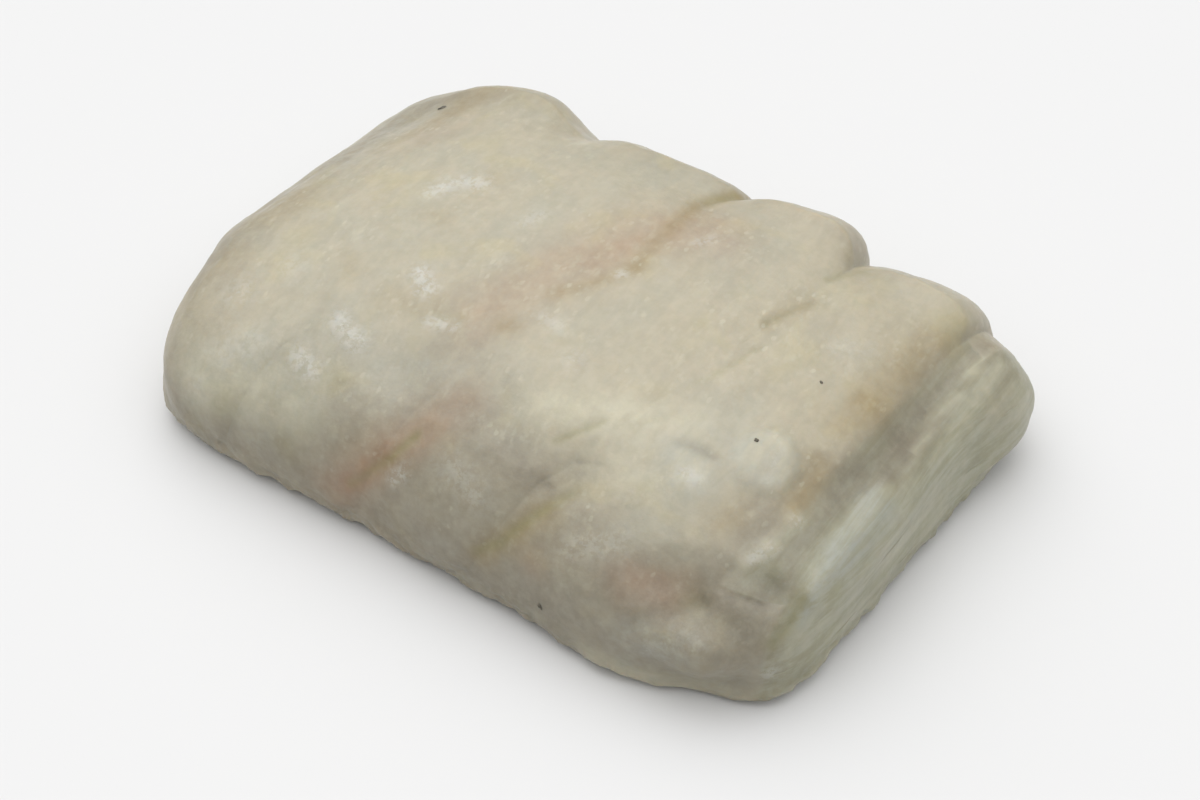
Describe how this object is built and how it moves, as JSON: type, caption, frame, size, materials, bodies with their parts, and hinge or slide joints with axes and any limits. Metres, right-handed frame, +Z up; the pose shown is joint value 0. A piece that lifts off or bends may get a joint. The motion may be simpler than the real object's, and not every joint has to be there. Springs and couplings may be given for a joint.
{
  "type": "cod fillet",
  "caption": "Raw skinless cod loin portion: a thick rounded block of pale flesh with lapping flakes, a thin near edge and a steep fibrous cut end.",
  "frame": {"origin": "middle of the portion's bounding box at the height of its flat skin side, where it rests", "axes": "+X along the fish to the fibrous cut end, +Y across it from the thin belly edge to the thick back edge, +Z up"},
  "size_m": [0.117, 0.0794, 0.0283],
  "materials": {
    "flesh": "wet, faintly translucent raw white fish flesh"
  },
  "bodies": {
    "root": {"fillet": "flesh"}
  },
  "joints": []
}
